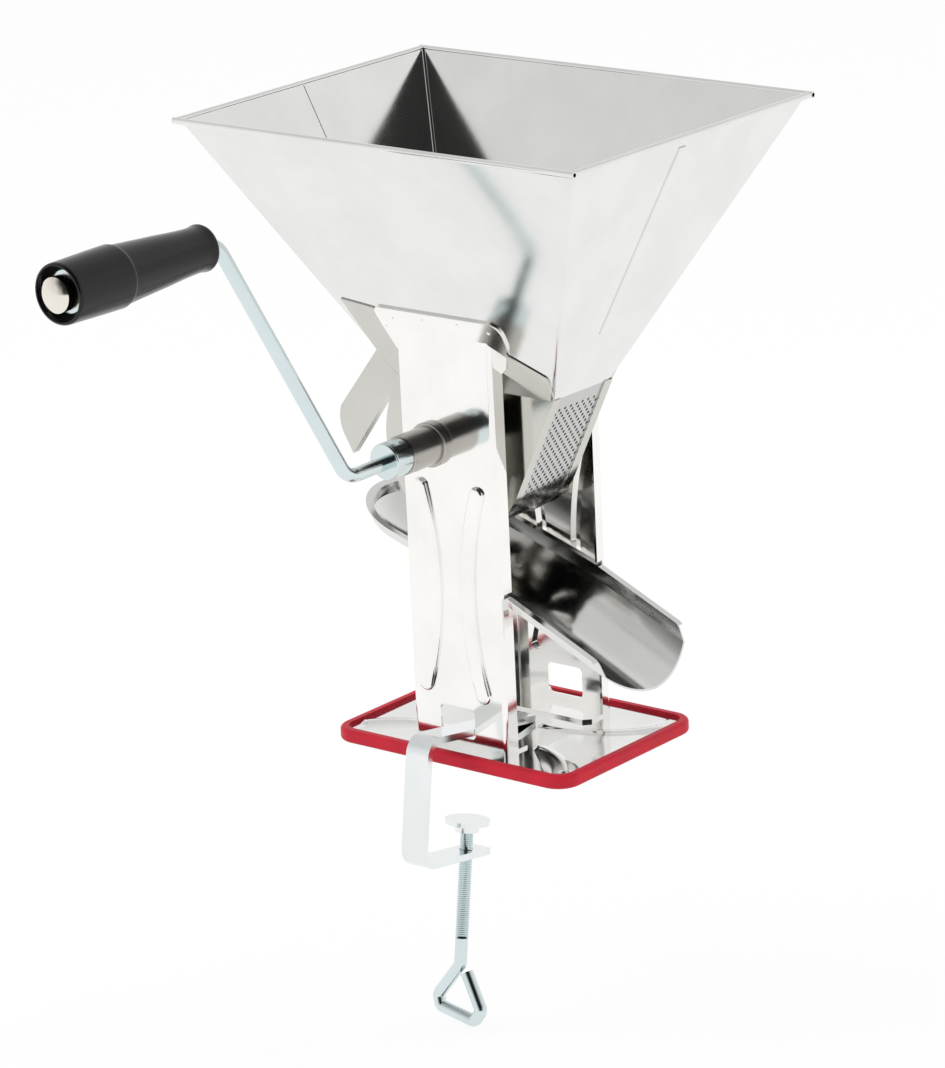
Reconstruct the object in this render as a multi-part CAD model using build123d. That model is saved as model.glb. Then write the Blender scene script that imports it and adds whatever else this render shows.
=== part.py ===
from build123d import *
import os
from math import cos, hypot, radians, sin, tan

# Tomato strainer with crank, in millimetres. The origin is the centre of the base on the worktop.
# +X follows the long side of the base and the juice chute, -Y is the crank's side, +Z is up.

# --- Hopper -------------------------------------------------------------------------------------
RIM_Z = 370.0
RIM_X0 = -135.7
RIM_X1 = 144.3
RIM_HALF = 110.0
BEAD_R = 1.9
BEAD_WALL = 0.7
THROAT_Z = 214.0
THROAT_X0 = -52.0
THROAT_X1 = 59.5
THROAT_NARROWER = 0.4
CORNER_R = 2.5
SHEET = 0.8
RIM_INSET = 1.0
SEAM_Y = -2.0
SEAM_WIDTH = 6.0
SEAM_LOW_Z = 250.0
SEAM_TOP_GAP = 5.0
SEAM_PROUD = 0.7
OVER = 1.0

# --- Straining chamber --------------------------------------------------------------------------
CHEEK_HALF = 27.0
SCREEN_TOP_OUT = 0.5
SCREEN_SLOPE = 25.85
ARC_R = 50.0
ARC_END = 230.0
SCREEN_STRAIGHT = 65.3
SCREEN_SHEET = 0.6
SCREEN_SIDE_GAP = 0.1
CHEEK_FLANGE = 7.0
HOLE_R = 1.0
HOLE_PITCH = 5.3
HOLE_FIRST = 10.0
HOLE_END_MARGIN = 6.0
TAIL_FLANGE = 4.5
TAIL_TOP = (-66.0, 226.8)
TAIL_TOP_GAP = 1.2
TAIL_LEFT = (-94.8, 190.0)
TAIL_ROUND = (-95.9, 185.0)
TAIL_LOW = (-93.0, 172.4)
TAIL_TIP = (-87.4, 162.5)
TAIL_NOTCH = (-58.0, 202.5)
CHAMBER_LEFT = ((-59.0, 196.0), (-62.0, 179.0))
FLANGE_TOP = ((-69.0, 262.0), (-46.6, 259.3), (-42.0, 248.0), (39.6, 241.0))
FLANGE_RIGHT = (63.7, 228.7)
FLANGE_RIGHT_R = 4.0

# --- Crank axis, bushes and rotor ---------------------------------------------------------------
AXIS_X = -13.5
AXIS_Z = 183.6
SHAFT_R = 5.0
RUN_GAP = 0.05
CHEEK_HOLE_GAP = 0.6
BUSH_R = 11.3
BUSH_FRONT_END = 73.9
BUSH_REAR_END = 52.5
BUSH_CHAMFER = 0.6
RING_R = 13.0
RING_LENGTH = 4.0
RING_ROUND = 1.0
SHAFT_REAR_END = 54.5
ROTOR_SIDE_GAP = 1.4
HUB_R = 16.0
PADDLE_COUNT = 4
PADDLE_THICK = 4.0
PADDLE_ROOT_R = 7.5
PADDLE_TIP_GAP = 0.7
PADDLE_TIP_ROUND = 1.6
PADDLE_TURN = 20.0

# --- Crank and grip -----------------------------------------------------------------------------
COLLAR_R = 10.5
COLLAR_GAP = 0.3
COLLAR_LENGTH = 13.2
COLLAR_SEAT = 6.0
COLLAR_ROUND = 1.2
CRIMP_R = 3.6
CRIMP_OUT = 2.2
ROD_R = 4.0
ROD_DROP = 0.8
ARM_Y = -119.2
ARM_LEAN = 62.0
CRANK_RADIUS = 145.0
CRANK_ANGLE = 101.9
BEND_R = 11.0
GRIP_STANDOFF = 10.5
GRIP_LENGTH = 112.8
GRIP_END_R = 16.8
GRIP_SWELL_R = 17.5
GRIP_SWELL_AT = 41.7
GRIP_NECK_R = 12.5
GRIP_NECK_AT = 5.8
GRIP_MIDDLE_R = 14.6
GRIP_MIDDLE_SHIFT = 3.0
GRIP_STEP = 1.2
GRIP_LIP_R = 13.1
GRIP_LIP_WIDTH = 2.6
GRIP_LIP_ROUND = 2.0
GRIP_WALL = 2.0
GRIP_RECESS = 8.0
GRIP_RUN_GAP = 0.1
WASHER_R = 11.6
WASHER_THICK = 1.0
WASHER_GAP = 0.15
CAP_R = 9.7
CAP_RIM = 8.8
CAP_DOME = 3.8

# --- Legs ---------------------------------------------------------------------------------------
LEG_HALF_Y = 45.5
LEG_X = -2.4
LEG_HALF_X = 33.3
LEG_SHEET = 1.5
LEG_BEND = 2.5
LEG_FLANGE = 10.5
LEG_FLANGE_NARROW = 8.0
WING_LEFT = ((-10.8, 13.0), (-8.5, -0.3), (-5.3, -13.3), (0.0, -17.8))
WING_RIGHT = ((0.0, -19.8), (5.1, -15.8), (12.1, -1.3), (12.1, 13.0))
WING_R_RIGHT = 8.0
WING_R_LEFT = 3.5
WING_R_SIDE = 6.0
WELDS = ((-31.0, 6.9), (-9.2, 8.6), (15.4, 9.1), (36.4, 7.2), (-38.6, 0.7))
WELD_R = 1.6
WELD_DEEP = 0.45
FOOT_DEPTH = 22.5
FOOT_CHAMFER = 4.0
WINDOW_X = -1.5
WINDOW_HALF_X = 12.4
WINDOW_LOW_Z = 11.5
WINDOW_TOP_Z = 29.8
WINDOW_R = 3.0
RIB_WIDTH = 10.0
RIB_PROUD = 2.6
RIB_ROUND = 2.3
RIBS = (((-20.4, 158.0), (-13.2, 98.5), (-22.4, 41.0)), ((20.0, 158.2), (10.6, 99.5), (18.8, 39.6)))

# --- Base ---------------------------------------------------------------------------------------
BASE_X = 170.0
BASE_Y = 126.0
BASE_R = 14.0
GASKET_H = 8.0
GASKET_LIP = 5.0
GASKET_ROUND = 2.2
PLATE_TOP_Z = 6.0
PLATE_SHEET = 1.5
PLATE_GRIP = 2.5
CREASE_WIDTH = 9.0
CREASE_PROUD = 1.5
CREASE_TAPER = 60.0
CREASE_LEG_GAP = 7.2
CREASES = (
    ((74.5, -48.0), (57.0, -32.5), (LEG_X + LEG_HALF_X + CREASE_LEG_GAP, -24.5)),
    ((-74.5, -42.0), (-60.0, -31.0), (LEG_X - LEG_HALF_X - CREASE_LEG_GAP, -26.0)),
    ((75.0, 36.0), (50.0, 13.5), (18.0, 6.5)),
    ((-75.0, 36.0), (-50.0, 13.5), (-18.0, 6.5)),
)
LINE_WIDTH = 1.0
LINE_PROUD = 0.5
LINE_X = 77.0
LINE_Y = (-36.0, 24.0)

# --- Juice chute --------------------------------------------------------------------------------
CHUTE_HALF = 38.0
CHUTE_SHEET = 0.8
CHUTE_LIP = 3.5
CHUTE_DEPTH = 18.0
CHUTE_WALL = 7.0
CHUTE_FLOOR_FULL = 0.75
CHUTE_DRAFT = 1.0
CHUTE_BREAK_X = 33.0
CHUTE_BREAK_Z = 98.5
BASIN_SLOPE = 18.2
SPOUT_SLOPE = 24.5
BASIN_CENTRE_X = -50.0
SPOUT_RIM_X = 92.0
SPOUT_FLOOR_X = 103.5
SPOUT_CORNER_R = 9.0
CHUTE_NOTCH_SIDE = 0.6
CHUTE_NOTCH_TOP = 1.2
CHUTE_NOTCH_DEEP = 4.5

# --- Table clamp --------------------------------------------------------------------------------
CLAMP_TILT = 8.5
CLAMP_TIP_Y = 9.5
CLAMP_TIP_GAP = 0.05
CLAMP_REACH = 97.3
CLAMP_DROP = 72.5
CLAMP_LOW_END = 36.0
CLAMP_WIDTH = 16.0
CLAMP_THICK = 4.0
CLAMP_BEND = 9.0
SCREW_AT = 48.4
SCREW_R = 3.9
SCREW_GAP = 0.1
SCREW_THREAD_END = 121.0
SCREW_SHANK_END = 137.5
SCREW_HANDLE_R = 3.7
PAD_R = 13.0
PAD_TOP = 51.0
PAD_PLATE = 2.5
PAD_NECK_R = 7.0
PAD_NECK = 4.5
PAD_SOCKET = 4.0
SCREW_TIP = 0.8
HANDLE_START = 0.5
HANDLE = ((-14.8, -20.0), (-12.5, -26.5), (12.5, -30.5), (17.0, -23.5), (5.0, -3.0))
HANDLE_BEND = 3.5


def slab(sketch, y0, y1):
    """A sketch drawn in X and Z, made solid from y0 to y1."""
    return extrude(Plane.XZ.offset(-y1) * sketch, amount=y1 - y0)


def disc(x, z, radius, y0, y1):
    """A round bar along Y."""
    return slab(Pos(x, z) * Circle(radius), y0, y1)


def outline(points):
    """A closed straight-sided face through points."""
    return make_face(Polyline(*points, close=True))


def block(x0, x1, y0, y1, z0, z1):
    """A box between two corners."""
    return Pos((x0 + x1) / 2, (y0 + y1) / 2, (z0 + z1) / 2) * Box(x1 - x0, y1 - y0, z1 - z0)


# --- Hopper -------------------------------------------------------------------------------------
THROAT_HALF = CHEEK_HALF - THROAT_NARROWER
WALL_TOP_Z = RIM_Z - BEAD_R
WALL_RISE = WALL_TOP_Z - THROAT_Z
SLOPE_Y = (RIM_HALF - BEAD_R - RIM_INSET - THROAT_HALF) / WALL_RISE
SLOPE_LEFT = (THROAT_X0 - RIM_X0 - BEAD_R - RIM_INSET) / WALL_RISE
SLOPE_RIGHT = (RIM_X1 - BEAD_R - RIM_INSET - THROAT_X1) / WALL_RISE
LEVEL_SHEET = SHEET * hypot(1.0, SLOPE_Y)


def hopper_solid(inset, z0, z1):
    """The hopper's four sloping faces as a filled solid, drawn in by inset on every level."""
    sections = []
    for z in (z0, z1):
        x0 = THROAT_X0 - SLOPE_LEFT * (z - THROAT_Z) + inset
        x1 = THROAT_X1 + SLOPE_RIGHT * (z - THROAT_Z) - inset
        half = THROAT_HALF + SLOPE_Y * (z - THROAT_Z) - inset
        place = Plane(origin=((x0 + x1) / 2, 0, z))
        sections.append(place * RectangleRounded(x1 - x0, 2 * half, CORNER_R - inset))
    return loft(sections, ruled=True)


def bead_along_x(side):
    """Rolled rim of the front or rear wall, an open tube over the hopper's whole length."""
    ring = Circle(BEAD_R) - Circle(BEAD_R - BEAD_WALL)
    place = Plane(origin=(RIM_X0, side * (RIM_HALF - BEAD_R), WALL_TOP_Z), z_dir=(1, 0, 0))
    return extrude(place * ring, amount=RIM_X1 - RIM_X0)


def bead_along_y(x):
    """Rolled rim of the left or right wall, which ends against the other two beads."""
    reach = RIM_HALF - 2 * BEAD_R
    ring = Circle(BEAD_R) - Circle(BEAD_R - BEAD_WALL)
    return slab(Pos(x, WALL_TOP_Z) * ring, -reach, reach)


def seam_strips():
    """Folded lock seams, raised strips on the left and right walls beside the joint."""
    proud = hopper_solid(-SEAM_PROUD, SEAM_LOW_Z, WALL_TOP_Z) - hopper_solid(0, SEAM_LOW_Z - OVER, RIM_Z)
    return proud & block(RIM_X0, RIM_X1, SEAM_Y - SEAM_WIDTH, SEAM_Y, 0, WALL_TOP_Z - BEAD_R - SEAM_TOP_GAP)


def hopper_shell(side):
    """Half of the hopper: side -1 is the front half, which carries the seams, and 1 the rear."""
    walls = hopper_solid(0, THROAT_Z, WALL_TOP_Z) - hopper_solid(LEVEL_SHEET, THROAT_Z - OVER, RIM_Z)
    walls += bead_along_y(RIM_X0 + BEAD_R) + bead_along_y(RIM_X1 - BEAD_R)
    walls += bead_along_x(side)
    if side < 0:
        walls += seam_strips()
        return walls & block(RIM_X0 - OVER, RIM_X1 + OVER, -RIM_HALF - OVER, SEAM_Y, 0, RIM_Z + OVER)
    return walls & block(RIM_X0 - OVER, RIM_X1 + OVER, SEAM_Y, RIM_HALF + OVER, 0, RIM_Z + OVER)


# --- Straining chamber --------------------------------------------------------------------------
SCREEN_TOP_X = THROAT_X1 + SCREEN_TOP_OUT
SLOPE_DIR = (sin(radians(SCREEN_SLOPE)), cos(radians(SCREEN_SLOPE)))
SLOPE_OUT = (SLOPE_DIR[1], -SLOPE_DIR[0])
TANGENT_X = SCREEN_TOP_X - SCREEN_STRAIGHT * SLOPE_DIR[0]
TANGENT_Z = THROAT_Z - SCREEN_STRAIGHT * SLOPE_DIR[1]
ARC_X = TANGENT_X - ARC_R * SLOPE_OUT[0]
ARC_Z = TANGENT_Z - ARC_R * SLOPE_OUT[1]
SWEEP = radians(360.0 - SCREEN_SLOPE - ARC_END)


def on_profile(length, inset):
    """Point and outward direction on the screen's side profile, by length from its top edge."""
    if length <= SCREEN_STRAIGHT:
        x = SCREEN_TOP_X - length * SLOPE_DIR[0]
        z = THROAT_Z - length * SLOPE_DIR[1]
        return (x - inset * SLOPE_OUT[0], z - inset * SLOPE_OUT[1]), SLOPE_OUT
    turn = radians(-SCREEN_SLOPE) - (length - SCREEN_STRAIGHT) / ARC_R
    out = (cos(turn), sin(turn))
    return (ARC_X + (ARC_R - inset) * out[0], ARC_Z + (ARC_R - inset) * out[1]), out


PROFILE_END = SCREEN_STRAIGHT + ARC_R * SWEEP


def profile_band(inset0, inset1):
    """Side view of a sheet that follows the screen's profile between two insets."""
    middle = SCREEN_STRAIGHT + ARC_R * SWEEP / 2
    lines = []
    for inset in (inset0, inset1):
        top, bend, mid, end = (on_profile(s, inset)[0] for s in (0, SCREEN_STRAIGHT, middle, PROFILE_END))
        lines += [Line(top, bend), ThreePointArc(bend, mid, end)]
    caps = [Line(on_profile(s, inset0)[0], on_profile(s, inset1)[0]) for s in (0, PROFILE_END)]
    band = make_face(lines + caps)
    return band - Pos(SCREEN_TOP_X, THROAT_Z + OVER) * Rectangle(ARC_R, 2 * OVER)


def screen():
    """Perforated sheet: staggered rows of round holes across the straight and curved parts."""
    half = CHEEK_HALF - SHEET - SCREEN_SIDE_GAP
    sheet = slab(profile_band(SHEET, SHEET + SCREEN_SHEET), -half, half)
    reach = CHEEK_HALF - CHEEK_FLANGE - HOLE_R
    rows = int((PROFILE_END - HOLE_END_MARGIN - HOLE_FIRST) / (HOLE_PITCH / 2))
    columns = int(reach / HOLE_PITCH) + 1
    drills = []
    for row in range(rows + 1):
        (x, z), out = on_profile(HOLE_FIRST + row * HOLE_PITCH / 2, SHEET + SCREEN_SHEET / 2)
        shift = 0.5 * (row % 2)
        for column in range(-columns, columns + 1):
            y = (column + shift) * HOLE_PITCH
            if abs(y) <= reach:
                place = Plane(origin=(x, y, z), z_dir=(out[0], 0, out[1]))
                drills.append(place * Cylinder(HOLE_R, 4 * SCREEN_SHEET))
    return sheet - drills


def cheek_plate():
    """Upright side plate of the chamber with the strip that carries peel away on the left."""
    start = on_profile(0, 0)[0]
    bend = on_profile(SCREEN_STRAIGHT, 0)[0]
    middle = on_profile(SCREEN_STRAIGHT + ARC_R * SWEEP / 2, 0)[0]
    end = on_profile(PROFILE_END, 0)[0]
    top_right = (THROAT_X1, THROAT_Z + OVER)
    top_left = (THROAT_X0, THROAT_Z + OVER)
    wall_z = TAIL_TOP[1] + TAIL_TOP_GAP
    wall_left = (THROAT_X0 - SLOPE_LEFT * (wall_z - THROAT_Z), wall_z)
    edges = [
        Line(top_right, top_left),
        Line(top_left, wall_left),
        Line(wall_left, TAIL_TOP),
        Line(TAIL_TOP, TAIL_LEFT),
        ThreePointArc(TAIL_LEFT, TAIL_ROUND, TAIL_LOW),
        Line(TAIL_LOW, TAIL_TIP),
        Line(TAIL_TIP, TAIL_NOTCH),
        Line(TAIL_NOTCH, CHAMBER_LEFT[0]),
        ThreePointArc(CHAMBER_LEFT[0], CHAMBER_LEFT[1], end),
        ThreePointArc(end, middle, bend),
        Line(bend, start),
        Line(start, top_right),
    ]
    return slab(make_face(edges), -CHEEK_HALF, SHEET - CHEEK_HALF)


def tail_flange():
    """Narrow flange turned inwards along the tail strip's lower edge."""
    run = (TAIL_NOTCH[0] - TAIL_TIP[0], TAIL_NOTCH[1] - TAIL_TIP[1])
    length = hypot(*run)
    off = (-run[1] / length * SHEET, run[0] / length * SHEET)
    face = outline((TAIL_TIP, TAIL_NOTCH, (TAIL_NOTCH[0] + off[0], TAIL_NOTCH[1] + off[1]),
                    (TAIL_TIP[0] + off[0], TAIL_TIP[1] + off[1])))
    return slab(face, -CHEEK_HALF, SHEET - CHEEK_HALF + TAIL_FLANGE)


def hopper_flange():
    """Upper flange of the cheek, which lies flat on the hopper's front face."""
    left_low = (THROAT_X0 + OVER, THROAT_Z - OVER)
    left_high = (THROAT_X0 - SLOPE_LEFT * (TAIL_TOP[1] - THROAT_Z) + OVER, TAIL_TOP[1])
    right_low = (THROAT_X1, THROAT_Z - OVER)
    face = outline((*FLANGE_TOP, FLANGE_RIGHT, right_low, left_low, left_high))
    corner = face.vertices().sort_by(Axis.X)[-1]
    face = fillet(corner, FLANGE_RIGHT_R)
    high = FLANGE_TOP[0][1] + OVER
    skin = hopper_solid(-LEVEL_SHEET, THROAT_Z, high) - hopper_solid(0, THROAT_Z - OVER, high + OVER)
    return skin & slab(face, -RIM_HALF, -THROAT_HALF + LEVEL_SHEET)


def cheek():
    """Front cheek; the rear one is its mirror image."""
    flange = slab(profile_band(0, SHEET), -CHEEK_HALF, CHEEK_FLANGE - CHEEK_HALF)
    body = cheek_plate() + flange + tail_flange() + hopper_flange()
    body -= hopper_solid(0, THROAT_Z, RIM_Z)
    return body - disc(AXIS_X, AXIS_Z, SHAFT_R + CHEEK_HOLE_GAP, -CHEEK_HALF - OVER, 0)


# --- Bushes, rotor and shaft --------------------------------------------------------------------
def bush(end):
    """Tube that carries the shaft, from the cheek out through the leg."""
    tube = disc(AXIS_X, AXIS_Z, BUSH_R, -end, -CHEEK_HALF)
    tube = chamfer(tube.edges().group_by(Axis.Y)[0], BUSH_CHAMFER)
    return tube - disc(AXIS_X, AXIS_Z, SHAFT_R + RUN_GAP, -end - OVER, 0)


def bush_ring():
    """Flange ring round the bush, seated on the leg."""
    ring = disc(AXIS_X, AXIS_Z, RING_R, -LEG_HALF_Y - RING_LENGTH, -LEG_HALF_Y)
    ring = fillet(ring.edges().group_by(Axis.Y)[0], RING_ROUND)
    return ring - disc(AXIS_X, AXIS_Z, BUSH_R, -LEG_HALF_Y - 2 * RING_LENGTH, 0)


ROTOR_HALF = CHEEK_HALF - SHEET - ROTOR_SIDE_GAP
SCREEN_REACH = (SCREEN_TOP_X - AXIS_X) * SLOPE_OUT[0] + (THROAT_Z - AXIS_Z) * SLOPE_OUT[1]
THROAT_REACH = hypot(AXIS_X - THROAT_X0 - LEVEL_SHEET, THROAT_Z - AXIS_Z)
TAIL_REACH = hypot(AXIS_X - TAIL_NOTCH[0], TAIL_NOTCH[1] - AXIS_Z)
PADDLE_TIP_R = min(SCREEN_REACH - SHEET - SCREEN_SHEET, THROAT_REACH, TAIL_REACH) - PADDLE_TIP_GAP


def paddle(index):
    """One straight paddle, rounded along its tip and let into the hub at its root."""
    length = PADDLE_TIP_R - PADDLE_ROOT_R
    face = Pos(PADDLE_ROOT_R + length / 2, 0) * Rectangle(length, PADDLE_THICK)
    tips = face.vertices().group_by(Axis.X)[-1]
    face = fillet(tips, PADDLE_TIP_ROUND)
    turn = PADDLE_TURN + index * 360.0 / PADDLE_COUNT
    return slab(Pos(AXIS_X, AXIS_Z) * Rot(0, 0, turn) * face, -ROTOR_HALF, ROTOR_HALF)


def rotor_hub():
    """Hub on the shaft, slotted for the paddles."""
    hub = disc(AXIS_X, AXIS_Z, HUB_R, -ROTOR_HALF, ROTOR_HALF)
    hub -= disc(AXIS_X, AXIS_Z, SHAFT_R, -CHEEK_HALF, CHEEK_HALF)
    return hub - [paddle(index) for index in range(PADDLE_COUNT)]


COLLAR_Y1 = -BUSH_FRONT_END - COLLAR_GAP
COLLAR_Y0 = COLLAR_Y1 - COLLAR_LENGTH


def rotor_shaft():
    """Shaft from the collar through both bushes."""
    return disc(AXIS_X, AXIS_Z, SHAFT_R, COLLAR_Y1 - COLLAR_SEAT, SHAFT_REAR_END)


# --- Crank and grip -----------------------------------------------------------------------------
ROD_Z = AXIS_Z - ROD_DROP
HANDLE_X = AXIS_X + CRANK_RADIUS * cos(radians(CRANK_ANGLE))
HANDLE_Z = AXIS_Z + CRANK_RADIUS * sin(radians(CRANK_ANGLE))
ARM_END_Y = ARM_Y - ARM_LEAN
GRIP_INNER_Y = ARM_END_Y - GRIP_STANDOFF
GRIP_OUTER_Y = GRIP_INNER_Y - GRIP_LENGTH
RECESS_Y = GRIP_OUTER_Y + GRIP_RECESS
WASHER_Y = RECESS_Y - WASHER_GAP
CAP_Y = WASHER_Y - WASHER_THICK
ROD_END_Y = CAP_Y - CAP_RIM


def crank_collar():
    """Collar crimped on the shaft's end, with two flat crimp marks; it also takes the rod."""
    collar = disc(AXIS_X, AXIS_Z, COLLAR_R, COLLAR_Y0, COLLAR_Y1)
    collar = fillet(collar.edges().group_by(Axis.Y)[0], COLLAR_ROUND)
    for side in (-1, 1):
        z = AXIS_Z + side * (COLLAR_R + CRIMP_OUT)
        collar -= Pos(AXIS_X, (COLLAR_Y0 + COLLAR_Y1) / 2, z) * Rot(0, 90, 0) * Cylinder(CRIMP_R, 3 * COLLAR_R)
    collar -= disc(AXIS_X, AXIS_Z, SHAFT_R, COLLAR_Y1 - COLLAR_SEAT, 0)
    return collar - disc(AXIS_X, ROD_Z, ROD_R, COLLAR_Y0 - OVER, COLLAR_Y1 - COLLAR_SEAT)


def crank_rod():
    """Round rod: out of the collar, along the arm, which leans outwards, then through the grip."""
    path = FilletPolyline(
        (AXIS_X, COLLAR_Y1 - COLLAR_SEAT, ROD_Z),
        (AXIS_X, ARM_Y, ROD_Z),
        (HANDLE_X, ARM_END_Y, HANDLE_Z),
        (HANDLE_X, ROD_END_Y, HANDLE_Z),
        radius=BEND_R,
    )
    start = Plane(origin=path @ 0, z_dir=path % 0)
    return sweep(start * Circle(ROD_R), path=path)


def turned(profile):
    """A shape turned about the grip's axis from a profile of radius and Y."""
    place = Plane(origin=(HANDLE_X, 0, HANDLE_Z))
    return revolve(place * profile, axis=Axis((HANDLE_X, 0, HANDLE_Z), (0, 1, 0)))


def grip():
    """Hollow-ended grip: flared lip, tapering neck, swell, step and straight outer end."""
    bore = ROD_R + GRIP_RUN_GAP
    swell_y = GRIP_OUTER_Y + GRIP_SWELL_AT
    neck_y = GRIP_INNER_Y - GRIP_NECK_AT
    step_y = swell_y + GRIP_STEP
    end_y = GRIP_OUTER_Y + GRIP_STEP
    wall = GRIP_END_R - GRIP_WALL
    lip_mid = (GRIP_LIP_R - GRIP_LIP_ROUND * 0.2, GRIP_INNER_Y - GRIP_LIP_WIDTH / 3)
    lip = [
        Line((bore, GRIP_INNER_Y), (GRIP_LIP_R - GRIP_LIP_ROUND, GRIP_INNER_Y)),
        ThreePointArc((GRIP_LIP_R - GRIP_LIP_ROUND, GRIP_INNER_Y), lip_mid, (GRIP_LIP_R, GRIP_INNER_Y - GRIP_LIP_WIDTH)),
        Line((GRIP_LIP_R, GRIP_INNER_Y - GRIP_LIP_WIDTH), (GRIP_NECK_R, neck_y)),
    ]
    middle = (GRIP_MIDDLE_R, (GRIP_INNER_Y + swell_y) / 2 - GRIP_MIDDLE_SHIFT)
    corner = (GRIP_END_R - GRIP_STEP * 0.3, GRIP_OUTER_Y + GRIP_STEP * 0.3)
    body = [
        Spline((GRIP_NECK_R, neck_y), middle, (GRIP_END_R, step_y)),
        Line((GRIP_END_R, step_y), (GRIP_SWELL_R, swell_y)),
        Line((GRIP_SWELL_R, swell_y), (GRIP_END_R, end_y)),
        ThreePointArc((GRIP_END_R, end_y), corner, (GRIP_END_R - GRIP_STEP, GRIP_OUTER_Y)),
        Line((GRIP_END_R - GRIP_STEP, GRIP_OUTER_Y), (wall, GRIP_OUTER_Y)),
        Line((wall, GRIP_OUTER_Y), (wall, RECESS_Y)),
        Line((wall, RECESS_Y), (bore, RECESS_Y)),
        Line((bore, RECESS_Y), (bore, GRIP_INNER_Y)),
    ]
    return turned(make_face(lip + body))


def grip_washer():
    """Washer between the recess floor and the cap."""
    washer = disc(HANDLE_X, HANDLE_Z, WASHER_R, CAP_Y, WASHER_Y)
    return washer - disc(HANDLE_X, HANDLE_Z, ROD_R, CAP_Y - OVER, WASHER_Y + OVER)


def grip_cap():
    """Domed cap pressed on the rod's end."""
    rim_y = CAP_Y - CAP_RIM
    dome_r = (CAP_R ** 2 + CAP_DOME ** 2) / (2 * CAP_DOME)
    halfway = (dome_r ** 2 - CAP_R ** 2 / 4) ** 0.5 - dome_r + CAP_DOME
    side = [
        Line((0, CAP_Y), (CAP_R, CAP_Y)),
        Line((CAP_R, CAP_Y), (CAP_R, rim_y)),
        ThreePointArc((CAP_R, rim_y), (CAP_R / 2, rim_y - halfway), (0, rim_y - CAP_DOME)),
        Line((0, rim_y - CAP_DOME), (0, CAP_Y)),
    ]
    return turned(make_face(side)) - disc(HANDLE_X, HANDLE_Z, ROD_R, ROD_END_Y, CAP_Y + OVER)


# --- Juice chute --------------------------------------------------------------------------------
def tilted(x, z, slope):
    """Plane across the chute: its X is the chute's Y, its Y is normal to the rim, upwards."""
    run = (cos(radians(slope)), 0, -sin(radians(slope)))
    return Plane(origin=(x, 0, z), x_dir=(0, 1, 0), z_dir=run)


def chute_section(sides):
    """Cross-section of the sheet: lips, near-upright walls and a shallow round floor."""
    foot = CHUTE_HALF - CHUTE_DRAFT
    outer = CHUTE_HALF + CHUTE_LIP
    faces = []
    for side in sides:
        outside = [(side * outer, 0), (side * outer, -CHUTE_SHEET), (side * CHUTE_HALF, -CHUTE_SHEET)]
        inside = [(side * outer, 0), (side * (CHUTE_HALF - CHUTE_SHEET), 0)]
        wall_low = (side * foot, -CHUTE_WALL)
        wall_low_in = (side * (foot - CHUTE_SHEET), -CHUTE_WALL + CHUTE_SHEET / 2)
        mid = (side * foot / 2, -CHUTE_WALL - (CHUTE_DEPTH - CHUTE_WALL) * CHUTE_FLOOR_FULL)
        mid_in = (side * foot / 2, mid[1] + CHUTE_SHEET)
        edges = [
            Line(outside[0], outside[1]),
            Line(outside[1], outside[2]),
            Line(outside[2], wall_low),
            ThreePointArc(wall_low, mid, (0, -CHUTE_DEPTH)),
            Line((0, -CHUTE_DEPTH), (0, CHUTE_SHEET - CHUTE_DEPTH)),
            ThreePointArc((0, CHUTE_SHEET - CHUTE_DEPTH), mid_in, wall_low_in),
            Line(wall_low_in, inside[1]),
            Line(inside[1], inside[0]),
        ]
        faces.append(make_face(edges))
    return faces


def rim_point(x):
    """Height of the chute's rim at x."""
    slope = BASIN_SLOPE if x <= CHUTE_BREAK_X else SPOUT_SLOPE
    return CHUTE_BREAK_Z - (x - CHUTE_BREAK_X) * tan(radians(slope))


def chute():
    """Basin with a round end under the screen, bent into a steeper spout."""
    basin_z = rim_point(BASIN_CENTRE_X)
    start = tilted(BASIN_CENTRE_X, basin_z, BASIN_SLOPE)
    up = start.y_dir
    length = (CHUTE_BREAK_X - BASIN_CENTRE_X) / cos(radians(BASIN_SLOPE))
    end_face = start * chute_section((1,))[0]
    bowl = revolve(end_face, axis=Axis(start.origin, up), revolution_arc=180)
    if bowl.center().X > BASIN_CENTRE_X:
        bowl = revolve(end_face, axis=Axis(start.origin, up), revolution_arc=-180)
    basin = [extrude(start * face, amount=length + CHUTE_DEPTH) for face in chute_section((-1, 1))]
    spout_start = tilted(CHUTE_BREAK_X, CHUTE_BREAK_Z, SPOUT_SLOPE)
    reach = (SPOUT_FLOOR_X - CHUTE_BREAK_X) / cos(radians(SPOUT_SLOPE)) + CHUTE_DEPTH
    spout = [extrude(spout_start.offset(-CHUTE_DEPTH) * face, amount=reach + CHUTE_DEPTH)
             for face in chute_section((-1, 1))]
    mitre = tilted(CHUTE_BREAK_X, CHUTE_BREAK_Z, (BASIN_SLOPE + SPOUT_SLOPE) / 2)
    big = 3 * BASE_X
    ahead = mitre * Pos(0, 0, big / 2) * Box(big, big, big)
    body = bowl + (basin[0] + basin[1] - ahead) + ((spout[0] + spout[1]) & ahead)
    return body - spout_end_cut()


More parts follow.
